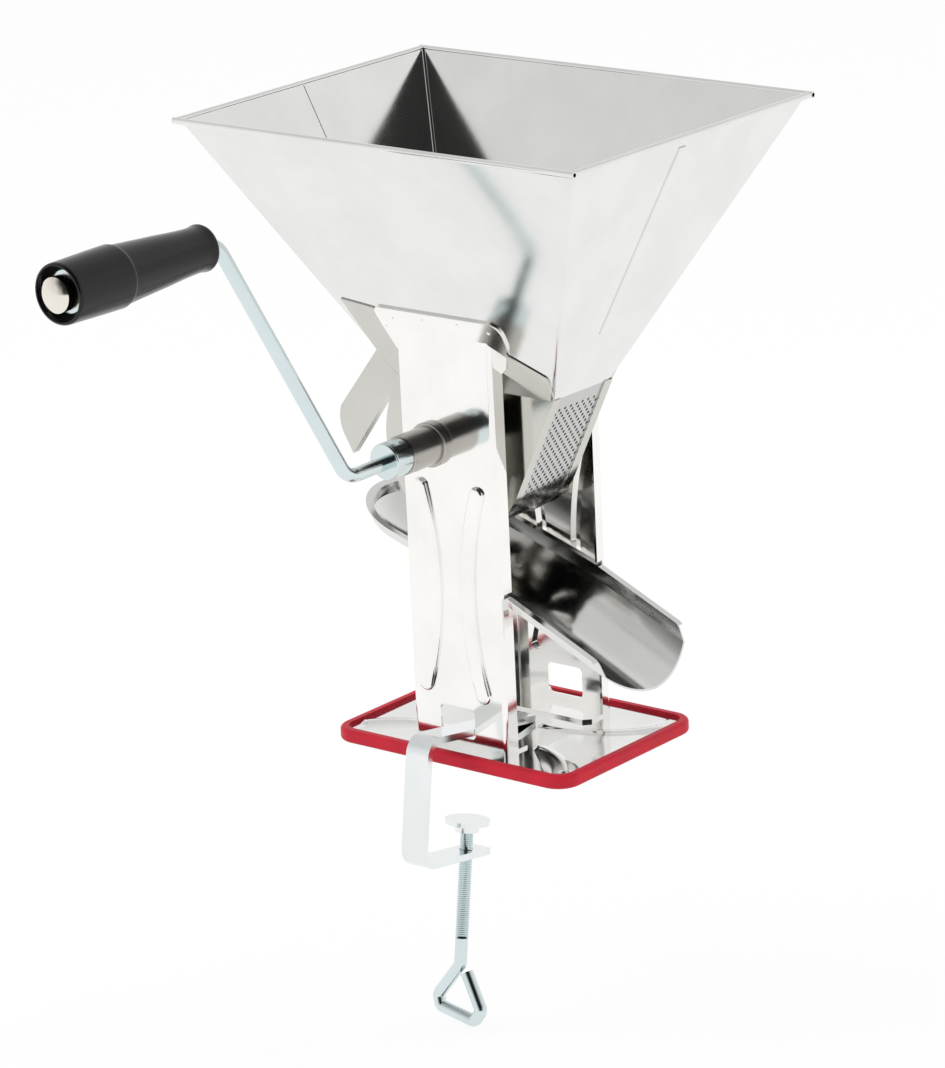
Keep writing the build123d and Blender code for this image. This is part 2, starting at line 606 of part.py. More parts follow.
def spout_end_cut():
    """Slanted end of the spout, longest at its floor, with rounded upper corners."""
    slope = radians(SPOUT_SLOPE)
    rim_z = CHUTE_BREAK_Z - (SPOUT_RIM_X - CHUTE_BREAK_X) * tan(slope)
    floor_z = CHUTE_BREAK_Z - (SPOUT_FLOOR_X - CHUTE_BREAK_X) * tan(slope) - CHUTE_DEPTH / cos(slope)
    rise = (rim_z - floor_z) / (SPOUT_FLOOR_X - SPOUT_RIM_X)
    corner = (SPOUT_RIM_X, rim_z + RUN_GAP)
    back = (corner[0] - CHUTE_HALF * cos(slope), corner[1] + CHUTE_HALF * sin(slope))
    low = (SPOUT_FLOOR_X + CHUTE_DEPTH / rise, floor_z - CHUTE_DEPTH)
    top_z = back[1] + CHUTE_DEPTH
    face = outline((corner, back, (back[0], top_z), (low[0] + BASE_X, top_z), (low[0] + BASE_X, low[1]), low))
    face = fillet(face.vertices().sort_by_distance((corner[0], corner[1], 0))[0], SPOUT_CORNER_R)
    return slab(face, -BASE_Y, BASE_Y)


# --- Legs ---------------------------------------------------------------------------------------
WING_SKIN = LEG_SHEET * hypot(1.0, SLOPE_Y)
FOLD_IN_Z = THROAT_Z + (LEG_HALF_Y - LEG_SHEET - THROAT_HALF) / SLOPE_Y
LEG_TOP_Z = FOLD_IN_Z + 2 * WING_SKIN / SLOPE_Y


def leg_wall(grow):
    """Plan of the leg's outer faces, drawn in by grow, with rounded folds towards the front."""
    half = LEG_HALF_X - grow
    y0 = grow - LEG_HALF_Y
    face = make_face(Polyline((LEG_X - half, y0), (LEG_X + half, y0), (LEG_X + half, 0), (LEG_X - half, 0), close=True))
    return fillet(face.vertices().group_by(Axis.Y)[0], LEG_BEND - grow)


def leg_channel():
    """Upright web with a flange folded back along each side, one a little wider than the other."""
    face = leg_wall(0) - leg_wall(LEG_SHEET)
    for side, depth in ((-1, LEG_FLANGE_NARROW), (1, LEG_FLANGE)):
        low = depth - LEG_HALF_Y
        face -= Pos(LEG_X + side * LEG_HALF_X, low / 2) * Rectangle(4 * LEG_SHEET, -low)
    return extrude(Pos(0, 0, PLATE_TOP_Z) * face, amount=LEG_TOP_Z - PLATE_TOP_Z)


def leg_wing():
    """Flange that lies on the hopper's sloping face, all round the channel's top."""
    left, right = ([(LEG_X + side * LEG_HALF_X + x, FOLD_IN_Z + z) for x, z in points]
                   for side, points in ((-1, WING_LEFT), (1, WING_RIGHT)))
    face = outline(left + right)
    for (x, z), radius in ((right[3], WING_R_RIGHT), (right[2], WING_R_SIDE), (left[0], WING_R_LEFT)):
        face = fillet(face.vertices().sort_by_distance((x, z, 0))[0], radius)
    face -= Pos(LEG_X, FOLD_IN_Z / 2) * Rectangle(2 * (LEG_HALF_X - LEG_SHEET), FOLD_IN_Z)
    high = left[0][1] + OVER
    skin = hopper_solid(-WING_SKIN, THROAT_Z, high) - hopper_solid(0, THROAT_Z - OVER, high + OVER)
    skin = skin & slab(face, -RIM_HALF, -THROAT_HALF)
    out = Vector(0, -1, -SLOPE_Y).normalized()
    for x, z in WELDS:
        level = FOLD_IN_Z + z
        seat = Vector(LEG_X + x, -THROAT_HALF - WING_SKIN - SLOPE_Y * (level - THROAT_Z), level)
        seat += out * (WELD_R - WELD_DEEP)
        skin -= Pos(seat.X, seat.Y, seat.Z) * Sphere(WELD_R)
    return skin


def leg_rib(points, inner):
    """One pressed rib, bowed towards the leg's middle, or the groove behind it."""
    path = ThreePointArc(*((LEG_X + x, z) for x, z in points))
    if inner:
        groove = SlotArc(path, RIB_WIDTH - 2 * LEG_SHEET)
        return slab(groove, LEG_SHEET - LEG_HALF_Y - RIB_PROUD, LEG_SHEET - LEG_HALF_Y + OVER)
    rib = slab(SlotArc(path, RIB_WIDTH), -LEG_HALF_Y - RIB_PROUD, LEG_SHEET / 2 - LEG_HALF_Y)
    return fillet(rib.edges().group_by(Axis.Y)[0], RIB_ROUND)


def leg_foot():
    """Flange turned inwards on the base plate, with its corners cut off."""
    inner = FOOT_DEPTH - LEG_HALF_Y
    x0, x1 = LEG_X - LEG_HALF_X, LEG_X + LEG_HALF_X
    cut = outline(((x0, -LEG_HALF_Y), (x1, -LEG_HALF_Y), (x1, inner - FOOT_CHAMFER), (x1 - FOOT_CHAMFER, inner),
                   (x0 + FOOT_CHAMFER, inner), (x0, inner - FOOT_CHAMFER)))
    return extrude(Pos(0, 0, PLATE_TOP_Z) * (leg_wall(0) & cut), amount=LEG_SHEET)


def chute_notch(side, x):
    """Room for the chute in the leg flange whose outer face is at x: its outer step carries the lip."""
    x0, x1 = sorted((x, x - side * LEG_SHEET))
    slope = radians(BASIN_SLOPE if x1 <= CHUTE_BREAK_X else SPOUT_SLOPE)
    z0 = rim_point(x1) - CHUTE_SHEET / cos(slope)
    z1 = rim_point(x0) + CHUTE_NOTCH_TOP
    low = rim_point(x1) - (CHUTE_WALL + CHUTE_NOTCH_DEEP) / cos(slope)
    lip = block(x0 - LEG_SHEET, x1 + LEG_SHEET, -CHUTE_HALF - CHUTE_LIP - CHUTE_NOTCH_SIDE, 0, z0, z1)
    return lip + block(x0 - LEG_SHEET, x1 + LEG_SHEET, -CHUTE_HALF - CHUTE_NOTCH_SIDE, 0, low, z1)


def leg_blank():
    """The leg as it is pressed, before it is fitted to the hopper and the chute."""
    body = leg_channel() + leg_foot() + leg_wing()
    for points in RIBS:
        body += leg_rib(points, False)
    for points in RIBS:
        body -= leg_rib(points, True)
    window = RectangleRounded(2 * WINDOW_HALF_X, WINDOW_TOP_Z - WINDOW_LOW_Z, WINDOW_R)
    middle = (WINDOW_TOP_Z + WINDOW_LOW_Z) / 2
    return body - slab(Pos(LEG_X + WINDOW_X, middle) * window, -LEG_HALF_Y - OVER, LEG_SHEET - LEG_HALF_Y + OVER)


def leg(turned_round, trim):
    """The front leg, or the same pressing turned round for the rear, fitted to what it meets."""
    body = leg_blank()
    middle = LEG_X
    if turned_round:
        body = mirror(body, about=Plane.YZ)
        middle = -LEG_X
    for side in (-1, 1):
        body -= chute_notch(side, middle + side * LEG_HALF_X)
    body -= disc(AXIS_X, AXIS_Z, BUSH_R, -LEG_HALF_Y - OVER, -CHEEK_HALF)
    return body - hopper_solid(0, THROAT_Z, RIM_Z) - trim


# --- Base ---------------------------------------------------------------------------------------
def plate_sketch():
    """Plan of the base plate, whose edge sits in the gasket's groove."""
    shrink = GASKET_LIP - PLATE_GRIP
    return RectangleRounded(BASE_X - 2 * shrink, BASE_Y - 2 * shrink, BASE_R - shrink)


def base_plate():
    """Base plate with a pressed crease from each corner towards the middle and a raised edge line."""
    plate = extrude(Pos(0, 0, PLATE_TOP_Z - PLATE_SHEET) * plate_sketch(), amount=PLATE_SHEET)
    for points in CREASES:
        crease = Pos(0, 0, PLATE_TOP_Z) * SlotArc(ThreePointArc(*points), CREASE_WIDTH)
        plate += extrude(crease, amount=CREASE_PROUD, taper=CREASE_TAPER)
    top = PLATE_TOP_Z + LINE_PROUD
    return plate + block(LINE_X, LINE_X + LINE_WIDTH, *LINE_Y, PLATE_TOP_Z - PLATE_SHEET / 2, top)


def base_gasket():
    """Rubber gasket: a grooved band round the plate's edge, on which everything stands."""
    ring = extrude(RectangleRounded(BASE_X, BASE_Y, BASE_R), amount=GASKET_H)
    ring = fillet(ring.edges().group_by(Axis.Z)[-1] + ring.edges().group_by(Axis.Z)[0], GASKET_ROUND)
    inner = RectangleRounded(BASE_X - 2 * GASKET_LIP, BASE_Y - 2 * GASKET_LIP, BASE_R - GASKET_LIP)
    ring -= extrude(Pos(0, 0, -OVER) * inner, amount=GASKET_H + 2 * OVER)
    return ring - extrude(Pos(0, 0, PLATE_TOP_Z - PLATE_SHEET) * plate_sketch(), amount=PLATE_SHEET)


# --- Table clamp --------------------------------------------------------------------------------
TILT = radians(CLAMP_TILT)
OUT = Vector(0, -cos(TILT), sin(TILT))
UP = Vector(0, sin(TILT), cos(TILT))
TIP = Vector(0, CLAMP_TIP_Y, PLATE_TOP_Z + CLAMP_TIP_GAP)


def clamp_at(out, up, x=0.0):
    """A point given by its distance outwards along the clamp's arm and its height above it."""
    return TIP + OUT * out + UP * up + Vector(x, 0, 0)


def upright(out, up, radius, length):
    """A round bar along the screw, which rises by length from a point of the clamp's frame."""
    place = Plane(origin=clamp_at(out, up), x_dir=(1, 0, 0), z_dir=UP)
    return extrude(place * Circle(radius), amount=length)


def clamp_bar():
    """Flat bar bent into a C: upper arm through the leg's window, lower arm with the screw hole."""
    half = CLAMP_THICK / 2
    path = FilletPolyline(
        clamp_at(0, half), clamp_at(CLAMP_REACH - half, half),
        clamp_at(CLAMP_REACH - half, half - CLAMP_DROP), clamp_at(CLAMP_LOW_END, half - CLAMP_DROP),
        radius=CLAMP_BEND,
    )
    section = Plane(origin=path @ 0, x_dir=(1, 0, 0), z_dir=path % 0)
    bar = sweep(section * Rectangle(CLAMP_WIDTH, CLAMP_THICK), path=path)
    return bar - upright(SCREW_AT, -CLAMP_DROP - OVER, SCREW_R + SCREW_GAP, CLAMP_THICK + 2 * OVER)


def clamp_pad():
    """Round pressure pad with a socket for the screw's end."""
    pad = upright(SCREW_AT, -PAD_TOP - PAD_PLATE, PAD_R, PAD_PLATE)
    pad += upright(SCREW_AT, -PAD_TOP - PAD_PLATE - PAD_NECK, PAD_NECK_R, PAD_NECK)
    return pad - upright(SCREW_AT, -PAD_TOP - PAD_PLATE - PAD_NECK - OVER, SCREW_R + SCREW_GAP, PAD_SOCKET + OVER)


def clamp_screw():
    """Threaded screw whose plain lower end is bent into a triangular handle."""
    top = -PAD_TOP - PAD_PLATE - PAD_NECK + PAD_SOCKET - SCREW_GAP
    thread = upright(SCREW_AT, -SCREW_THREAD_END, SCREW_R, top + SCREW_THREAD_END)
    thread = chamfer(thread.edges().group_by(Axis.Z)[-1], SCREW_TIP)
    low = -SCREW_SHANK_END
    points = [clamp_at(SCREW_AT, OVER - SCREW_THREAD_END), clamp_at(SCREW_AT, low + HANDLE_START)]
    points += [clamp_at(SCREW_AT, low + height, x) for x, height in HANDLE]
    path = FilletPolyline(*points, radius=HANDLE_BEND)
    place = Plane(origin=path @ 0, x_dir=(1, 0, 0), z_dir=path % 0)
    return thread + sweep(place * Circle(SCREW_HANDLE_R), path=path)


def build():
    """Every sub-part under its own name."""
    rear = Plane.XZ
    front_cheek = cheek()
    parts = {
        "hopper_front_shell": hopper_shell(-1),
        "hopper_rear_shell": hopper_shell(1),
        "chamber_cheek_front": front_cheek,
        "chamber_cheek_rear": mirror(front_cheek, about=rear),
        "screen": screen(),
        "leg_front": leg(False, front_cheek),
        "leg_rear": mirror(leg(True, front_cheek), about=rear),
        "bush_front": bush(BUSH_FRONT_END),
        "bush_rear": mirror(bush(BUSH_REAR_END), about=rear),
        "bush_ring_front": bush_ring(),
        "bush_ring_rear": mirror(bush_ring(), about=rear),
        "base_plate": base_plate(),
        "base_gasket": base_gasket(),
        "chute": chute(),
        "rotor_shaft": rotor_shaft(),
        "rotor_hub": rotor_hub(),
        "crank_collar": crank_collar(),
        "crank_rod": crank_rod(),
        "grip": grip(),
        "grip_washer": grip_washer(),
        "grip_cap": grip_cap(),
        "clamp_bar": clamp_bar(),
        "clamp_pad": clamp_pad(),
        "clamp_screw": clamp_screw(),
    }
    for index in range(PADDLE_COUNT):
        parts[f"paddle_{index + 1}"] = paddle(index)
    return parts


os.makedirs("parts", exist_ok=True)
for name, shape in build().items():
    export_step(shape, f"parts/{name}.step")
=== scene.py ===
import bmesh
import bpy
from math import cos, pi, radians, sin
from mathutils import Matrix, Vector


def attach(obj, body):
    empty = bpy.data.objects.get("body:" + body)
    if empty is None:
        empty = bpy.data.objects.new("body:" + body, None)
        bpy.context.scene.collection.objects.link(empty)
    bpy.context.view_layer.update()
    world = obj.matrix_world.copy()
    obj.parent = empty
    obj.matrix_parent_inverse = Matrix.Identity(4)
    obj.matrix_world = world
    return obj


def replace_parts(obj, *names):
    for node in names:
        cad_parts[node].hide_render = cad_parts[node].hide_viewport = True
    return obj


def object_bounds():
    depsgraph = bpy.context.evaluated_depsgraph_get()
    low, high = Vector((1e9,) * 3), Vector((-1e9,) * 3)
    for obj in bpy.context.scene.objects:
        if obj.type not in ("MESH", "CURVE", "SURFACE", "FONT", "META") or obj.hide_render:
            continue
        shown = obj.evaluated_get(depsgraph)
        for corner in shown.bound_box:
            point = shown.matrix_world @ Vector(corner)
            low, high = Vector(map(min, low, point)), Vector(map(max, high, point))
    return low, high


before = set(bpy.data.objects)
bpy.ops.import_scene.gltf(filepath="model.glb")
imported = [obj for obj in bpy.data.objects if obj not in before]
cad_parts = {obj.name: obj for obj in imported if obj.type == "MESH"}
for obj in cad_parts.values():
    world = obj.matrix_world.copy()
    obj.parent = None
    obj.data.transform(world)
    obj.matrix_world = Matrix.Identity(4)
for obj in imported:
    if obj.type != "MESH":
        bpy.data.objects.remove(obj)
cad_box = [list(corner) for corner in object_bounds()]

# --- Camera -------------------------------------------------------------------------------------
# The strainer is seen from its crank's side, a little from above and from far off, so that its
# upright edges stay nearly parallel. The sensor is as tall as the picture.
CAMERA_AT = (1.7067, -2.1058, 0.9628)
CAMERA_TURN = 39.422
CAMERA_DOWN = 17.244
CAMERA_ROLL = 2.664
SENSOR = 36.0
FOCAL_SHARE = 5000 / 1068

camera_data = bpy.data.cameras.new("camera")
camera_data.sensor_width = SENSOR
camera_data.lens = SENSOR * FOCAL_SHARE
camera_data.clip_end = 50
camera = bpy.data.objects.new("camera", camera_data)
bpy.context.scene.collection.objects.link(camera)
camera.matrix_world = (
    Matrix.Translation(CAMERA_AT)
    @ Matrix.Rotation(radians(CAMERA_TURN), 4, "Z")
    @ Matrix.Rotation(radians(90 - CAMERA_DOWN), 4, "X")
    @ Matrix.Rotation(radians(-CAMERA_ROLL), 4, "Z")
)
bpy.context.scene.camera = camera
bpy.context.scene.view_settings.view_transform = "Standard"


# --- Studio -------------------------------------------------------------------------------------
# A white room with two large soft lamps. In the metal it darkens towards the side the picture is
# taken from and above it, as a real studio does, which gives the metal its edges and corners.
def add_node(tree, kind, **values):
    """A new node in a tree, with the values of its named inputs."""
    node = tree.nodes.new(kind)
    for key, value in values.items():
        node.inputs[key.replace("_", " ")].default_value = value
    return node


def join(tree, source, out, target, into):
    """Links an output to an input."""
    tree.links.new(source.outputs[out], target.inputs[into])


def ramp(tree, stops):
    """A soft colour ramp from (place, grey or colour) stops."""
    node = tree.nodes.new("ShaderNodeValToRGB")
    node.color_ramp.interpolation = "EASE"
    for index, (place, colour) in enumerate(stops):
        stop = node.color_ramp.elements[index] if index < 2 else node.color_ramp.elements.new(place)
        stop.position = place
        stop.color = (*colour, 1.0) if isinstance(colour, tuple) else (colour, colour, colour, 1.0)
    return node


def shade_towards(tree, direction, aim, stops):
    """A grey for each direction, by how nearly it points along aim."""
    facing = tree.nodes.new("ShaderNodeVectorMath")
    facing.operation = "DOT_PRODUCT"
    facing.inputs[1].default_value = aim.normalized()
    join(tree, direction, "Generated", facing, 0)
    shade = ramp(tree, stops)
    join(tree, facing, "Value", shade, "Fac")
    return shade.outputs["Color"]


def multiplied(tree, one, other):
    """The product of two colours."""
    mix = tree.nodes.new("ShaderNodeMix")
    mix.data_type = "RGBA"
    mix.blend_type = "MULTIPLY"
    mix.inputs["Factor"].default_value = 1.0
    tree.links.new(one, mix.inputs[6])
    tree.links.new(other, mix.inputs[7])
    return mix.outputs[2]


DARK_SIDE = Vector((0.60, -0.74, 0.29))
DARK_ROOF = Vector((0.30, -0.42, 0.86))
ROOM_LIGHT = 0.80

world = bpy.data.worlds.new("room")
bpy.context.scene.world = world
world.use_nodes = True
room = world.node_tree
room.nodes.clear()
direction = add_node(room, "ShaderNodeTexCoord")
side = shade_towards(room, direction, DARK_SIDE,
                     [(0.0, 1.0), (0.62, 0.93), (0.86, 0.55), (0.95, 0.06), (1.0, 0.03)])
roof = shade_towards(room, direction, DARK_ROOF,
                     [(0.0, 1.0), (0.64, 0.97), (0.80, 0.40), (0.88, 0.05), (1.0, 0.02)])
height = add_node(room, "ShaderNodeSeparateXYZ")
join(room, direction, "Generated", height, "Vector")
rise = add_node(room, "ShaderNodeMapRange", From_Min=-0.6, From_Max=0.7)
join(room, height, "Z", rise, "Value")
floor_to_roof = ramp(room, [(0.0, 0.80), (0.45, 1.0), (0.7, 0.92), (1.0, 0.72)])
join(room, rise, "Result", floor_to_roof, "Fac")
seen = add_node(room, "ShaderNodeBackground", Color=(1.0, 1.0, 1.0, 1.0), Strength=1.0)
mirrored = add_node(room, "ShaderNodeBackground", Strength=1.0)
walls = multiplied(room, side, floor_to_roof.outputs["Color"])
room.links.new(multiplied(room, walls, roof), mirrored.inputs["Color"])
spread = add_node(room, "ShaderNodeBackground", Color=(1.0, 1.0, 1.0, 1.0), Strength=ROOM_LIGHT)
rays = add_node(room, "ShaderNodeLightPath")
glossy_mix = add_node(room, "ShaderNodeMixShader")
join(room, rays, "Is Glossy Ray", glossy_mix, 0)
join(room, spread, "Background", glossy_mix, 1)
join(room, mirrored, "Background", glossy_mix, 2)
camera_mix = add_node(room, "ShaderNodeMixShader")
join(room, rays, "Is Camera Ray", camera_mix, 0)
join(room, glossy_mix, "Shader", camera_mix, 1)
join(room, seen, "Background", camera_mix, 2)
output = add_node(room, "ShaderNodeOutputWorld")
join(room, camera_mix, "Shader", output, "Surface")

for name, place, aim, size, watts in (
    ("lamp_left", (-1.6, -1.0, 1.9), (0.0, 0.0, 0.15), 1.4, 14.0),
    ("lamp_back", (1.0, 1.6, 1.8), (0.0, 0.0, 0.20), 1.2, 8.0),
):
    lamp_data = bpy.data.lights.new(name, "AREA")
    lamp_data.shape = "SQUARE"
    lamp_data.size = size
    lamp_data.energy = watts
    lamp = bpy.data.objects.new(name, lamp_data)
    bpy.context.scene.collection.objects.link(lamp)
    lamp.visible_glossy = False
    lamp.location = place
    lamp.rotation_euler = (Vector(aim) - Vector(place)).to_track_quat("-Z", "Y").to_euler()

FLOOR_SIZE = 12.0
FLOOR_DROP = 0.002
FLOOR_PAINT = (0.86, 0.86, 0.85)
FLOOR_GLOW = 1.04
FLOOR_GLOW_SHARE = 0.82

floor_shape = bmesh.new()
bmesh.ops.create_grid(floor_shape, x_segments=1, y_segments=1, size=FLOOR_SIZE)
bmesh.ops.translate(floor_shape, verts=floor_shape.verts, vec=(0, 0, cad_box[0][2] - FLOOR_DROP))
floor_mesh = bpy.data.meshes.new("floor")
floor_shape.to_mesh(floor_mesh)
floor_shape.free()
floor = bpy.data.objects.new("floor", floor_mesh)
bpy.context.scene.collection.objects.link(floor)
floor_paint = bpy.data.materials.new("floor paint")
floor_paint.use_nodes = True
paint = floor_paint.node_tree
paint_shader = paint.nodes["Principled BSDF"]
paint_shader.inputs["Base Color"].default_value = (*FLOOR_PAINT, 1.0)
paint_shader.inputs["Roughness"].default_value = 0.9
paint_rays = add_node(paint, "ShaderNodeLightPath")
paint_light = add_node(paint, "ShaderNodeEmission", Color=(1.0, 1.0, 1.0, 1.0), Strength=FLOOR_GLOW)
paint_seen = add_node(paint, "ShaderNodeMath")
paint_seen.operation = "ADD"
join(paint, paint_rays, "Is Camera Ray", paint_seen, 0)
join(paint, paint_rays, "Is Glossy Ray", paint_seen, 1)
paint_share = add_node(paint, "ShaderNodeMath")
paint_share.operation = "MULTIPLY"
paint_share.inputs[1].default_value = FLOOR_GLOW_SHARE
join(paint, paint_seen, "Value", paint_share, 0)
paint_mix = add_node(paint, "ShaderNodeMixShader")
join(paint, paint_share, "Value", paint_mix, 0)
paint.links.new(paint_shader.outputs["BSDF"], paint_mix.inputs[1])
join(paint, paint_light, "Emission", paint_mix, 2)
paint.links.new(paint_mix.outputs["Shader"], paint.nodes["Material Output"].inputs["Surface"])
floor_mesh.materials.append(floor_paint)


# --- Hopper -------------------------------------------------------------------------------------
# Two halves of polished stainless sheet, bent to a square funnel and locked together by folded
# seams. Their top edge is rolled outwards to a round bead, whose ends stay open at the corners.
def metal(name, colour, roughness, wave, grain, grain_along=(1.0, 1.0, 1.0)):
    """Bare metal: slow waves left by rolling and bending, fine grain and uneven polish."""
    material = bpy.data.materials.new(name)
    material.use_nodes = True
    tree = material.node_tree
    shader = tree.nodes["Principled BSDF"]
    shader.inputs["Metallic"].default_value = 1.0
    place = add_node(tree, "ShaderNodeTexCoord")
    patches = add_node(tree, "ShaderNodeTexNoise", Scale=22.0, Detail=4.0, Roughness=0.6)
    join(tree, place, "Object", patches, "Vector")
    polish = add_node(tree, "ShaderNodeMapRange", To_Min=roughness * 0.7, To_Max=roughness * 1.5)
    join(tree, patches, "Fac", polish, "Value")
    join(tree, polish, "Result", shader, "Roughness")
    low = tuple(channel * 0.94 for channel in colour)
    tone = ramp(tree, [(0.3, low), (0.7, colour)])
    join(tree, patches, "Fac", tone, "Fac")
    join(tree, tone, "Color", shader, "Base Color")
    slow = add_node(tree, "ShaderNodeTexNoise", Scale=9.0, Detail=2.0, Roughness=0.4)
    join(tree, place, "Object", slow, "Vector")
    waves = add_node(tree, "ShaderNodeBump", Strength=wave, Distance=0.01)
    join(tree, slow, "Fac", waves, "Height")
    run = add_node(tree, "ShaderNodeMapping", Scale=grain_along)
    join(tree, place, "Object", run, "Vector")
    fine = add_node(tree, "ShaderNodeTexNoise", Scale=1400.0, Detail=2.0)
    join(tree, run, "Vector", fine, "Vector")
    scratches = add_node(tree, "ShaderNodeBump", Strength=grain, Distance=0.0002)
    join(tree, fine, "Fac", scratches, "Height")
    join(tree, waves, "Normal", scratches, "Normal")
    join(tree, scratches, "Normal", shader, "Normal")
    return material


MERGE = 0.000001


def as_built(node):
    """A copy of a CAD node's mesh, merged."""
    shape = bmesh.new()
    shape.from_mesh(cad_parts[node].data)
    bmesh.ops.remove_doubles(shape, verts=shape.verts, dist=MERGE)
    return shape


def placed(shape, body, name, material, angle=32.0):
    """A shape made a piece of a body, its folds shaded round and its flat faces kept flat."""
    shape.normal_update()
    corners = []
    for face in shape.faces:
        for corner in face.loops:
            lean = Vector((0.0, 0.0, 0.0))
            for near in corner.vert.link_faces:
                if near.normal.dot(face.normal) > cos(radians(angle)):
                    lean += near.normal * near.calc_area()
            corners.append(lean.normalized() if lean.length > 0 else face.normal.copy())
    mesh = bpy.data.meshes.new(name)
    shape.to_mesh(mesh)
    shape.free()
    mesh.shade_smooth()
    mesh.normals_split_custom_set(corners)
    mesh.materials.append(material)
    piece = bpy.data.objects.new(name, mesh)
    bpy.context.scene.collection.objects.link(piece)
    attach(piece, body)
    return piece


def finished(node, body, name, material, angle=32.0):
    """A piece in the shape of a CAD node, which it stands for."""
    piece = placed(as_built(node), body, name, material, angle)
    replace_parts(piece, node)


hopper_sheet = metal("polished hopper sheet", (0.84, 0.84, 0.825), 0.10, 0.05, 0.05)
for half in ("front", "rear"):
    finished(f"hopper_{half}_shell", "root", f"hopper_{half}", hopper_sheet)

# The two halves meet in a fine slit on the inside of the left and right walls. Its shade is painted as a
# thin near-black strip laid on the wall along it.
SLIT_Y = (-0.0022, -0.0018)
SLIT_LOW_Z = 0.214
SLIT_TOP_Z = 0.3675
SLIT_LIFT = (0.00008, 0.00004)
SLIT_THICK = 0.0001

# Near-black metal for that strip: painted shade of the seam slit, not a real gap.
slit_shade_paint = metal("painted shade of the slit", (0.05, 0.05, 0.05), 0.5, 0.05, 0.05)
for name, low_x, top_x, inwards in (
    ("seam_slit_shade_left", -0.0511, -0.1316, 1),
    ("seam_slit_shade_right", 0.0586, 0.1402, -1),
):
    slit = bmesh.new()
    ends = ((low_x, SLIT_LOW_Z), (top_x, SLIT_TOP_Z))
    outline = [(*end, SLIT_Y[0]) for end in ends] + [(*end, SLIT_Y[1]) for end in reversed(ends)]
    strip = slit.faces.new([slit.verts.new((x + inwards * SLIT_LIFT[0], y, z + SLIT_LIFT[1]))
                            for x, z, y in outline])
    strip.normal_update()
    if strip.normal.z < 0:
        bmesh.ops.reverse_faces(slit, faces=[strip])
    bmesh.ops.solidify(slit, geom=[strip], thickness=SLIT_THICK)
    placed(slit, "root", name, slit_shade_paint)

# --- Straining chamber --------------------------------------------------------------------------
# Two pressed side plates carry the perforated screen between their flanges. All three are thin
# polished sheet; the plates' upper flanges lie on the hopper and their tails lead the peel away.
# The side plates are the hopper's stainless, with a darker colour that paints in the shade inside the
# chamber.
chamber_sheet_painted_shade = metal("polished chamber sheet darkened as painted shade", (0.64, 0.63, 0.59), 0.12, 0.08, 0.05)
screen_sheet = metal("screen sheet", (0.58, 0.58, 0.57), 0.16, 0.05, 0.05)
for half in ("front", "rear"):
    finished(f"chamber_cheek_{half}", "root", f"cheek_{half}", chamber_sheet_painted_shade)
finished("screen", "root", "screen_sheet", screen_sheet, 20.0)

# --- Legs ---------------------------------------------------------------------------------------
# Each leg is a channel of polished sheet with two pressed ribs, a window near its foot and a
# flange at its top, which lies on the hopper and is spot-welded to it.
leg_sheet = metal("polished leg sheet", (0.96, 0.95, 0.93), 0.08, 0.06, 0.05)
for half in ("front", "rear"):
    finished(f"leg_{half}", "root", f"leg_{half}_channel", leg_sheet)

# --- Base ---------------------------------------------------------------------------------------
# A mirror-polished plate with a pressed crease from each corner, held in a red rubber gasket.
base_sheet = metal("polished base sheet", (0.86, 0.86, 0.85), 0.06, 0.10, 0.03)
finished("base_plate", "root", "base_sheet", base_sheet)


def rubber(name, colour):
    """Moulded rubber: matt, faintly mottled, with a soft sheen on its rounded edges."""
    material = bpy.data.materials.new(name)
    material.use_nodes = True
    tree = material.node_tree
    shader = tree.nodes["Principled BSDF"]
    shader.inputs["Specular IOR Level"].default_value = 0.35
    place = add_node(tree, "ShaderNodeTexCoord")
    mottle = add_node(tree, "ShaderNodeTexNoise", Scale=60.0, Detail=5.0)
    join(tree, place, "Object", mottle, "Vector")
    tone = ramp(tree, [(0.3, tuple(channel * 0.82 for channel in colour)), (0.7, colour)])
    join(tree, mottle, "Fac", tone, "Fac")
    join(tree, tone, "Color", shader, "Base Color")
    skin = add_node(tree, "ShaderNodeMapRange", To_Min=0.42, To_Max=0.62)
    join(tree, mottle, "Fac", skin, "Value")
    join(tree, skin, "Result", shader, "Roughness")
    pores = add_node(tree, "ShaderNodeTexNoise", Scale=900.0, Detail=2.0)
    join(tree, place, "Object", pores, "Vector")
    bump = add_node(tree, "ShaderNodeBump", Strength=0.25, Distance=0.0002)
    join(tree, pores, "Fac", bump, "Height")
    join(tree, bump, "Normal", shader, "Normal")
    return material


red_rubber = rubber("red rubber", (0.70, 0.010, 0.035))
finished("base_gasket", "root", "gasket_band", red_rubber)

# --- Bushes -------------------------------------------------------------------------------------
# Turned tubes with a satin surface, let into the legs, with a narrow flange ring against each.
satin_steel = metal("satin turned steel", (0.50, 0.48, 0.45), 0.22, 0.02, 0.35, (1.0, 0.02, 1.0))
for half in ("front", "rear"):
    finished(f"bush_{half}", "root", f"bush_{half}_tube", satin_steel)
    finished(f"bush_ring_{half}", "root", f"bush_{half}_ring", satin_steel)

# --- Chute --------------------------------------------------------------------------------------
# A pressed trough with a rounded end under the screen, bent down into the spout. Its lips rest in
# notches of the legs.
chute_sheet = metal("polished chute sheet", (0.80, 0.80, 0.79), 0.10, 0.06, 0.05)
finished("chute", "root", "chute_trough", chute_sheet)

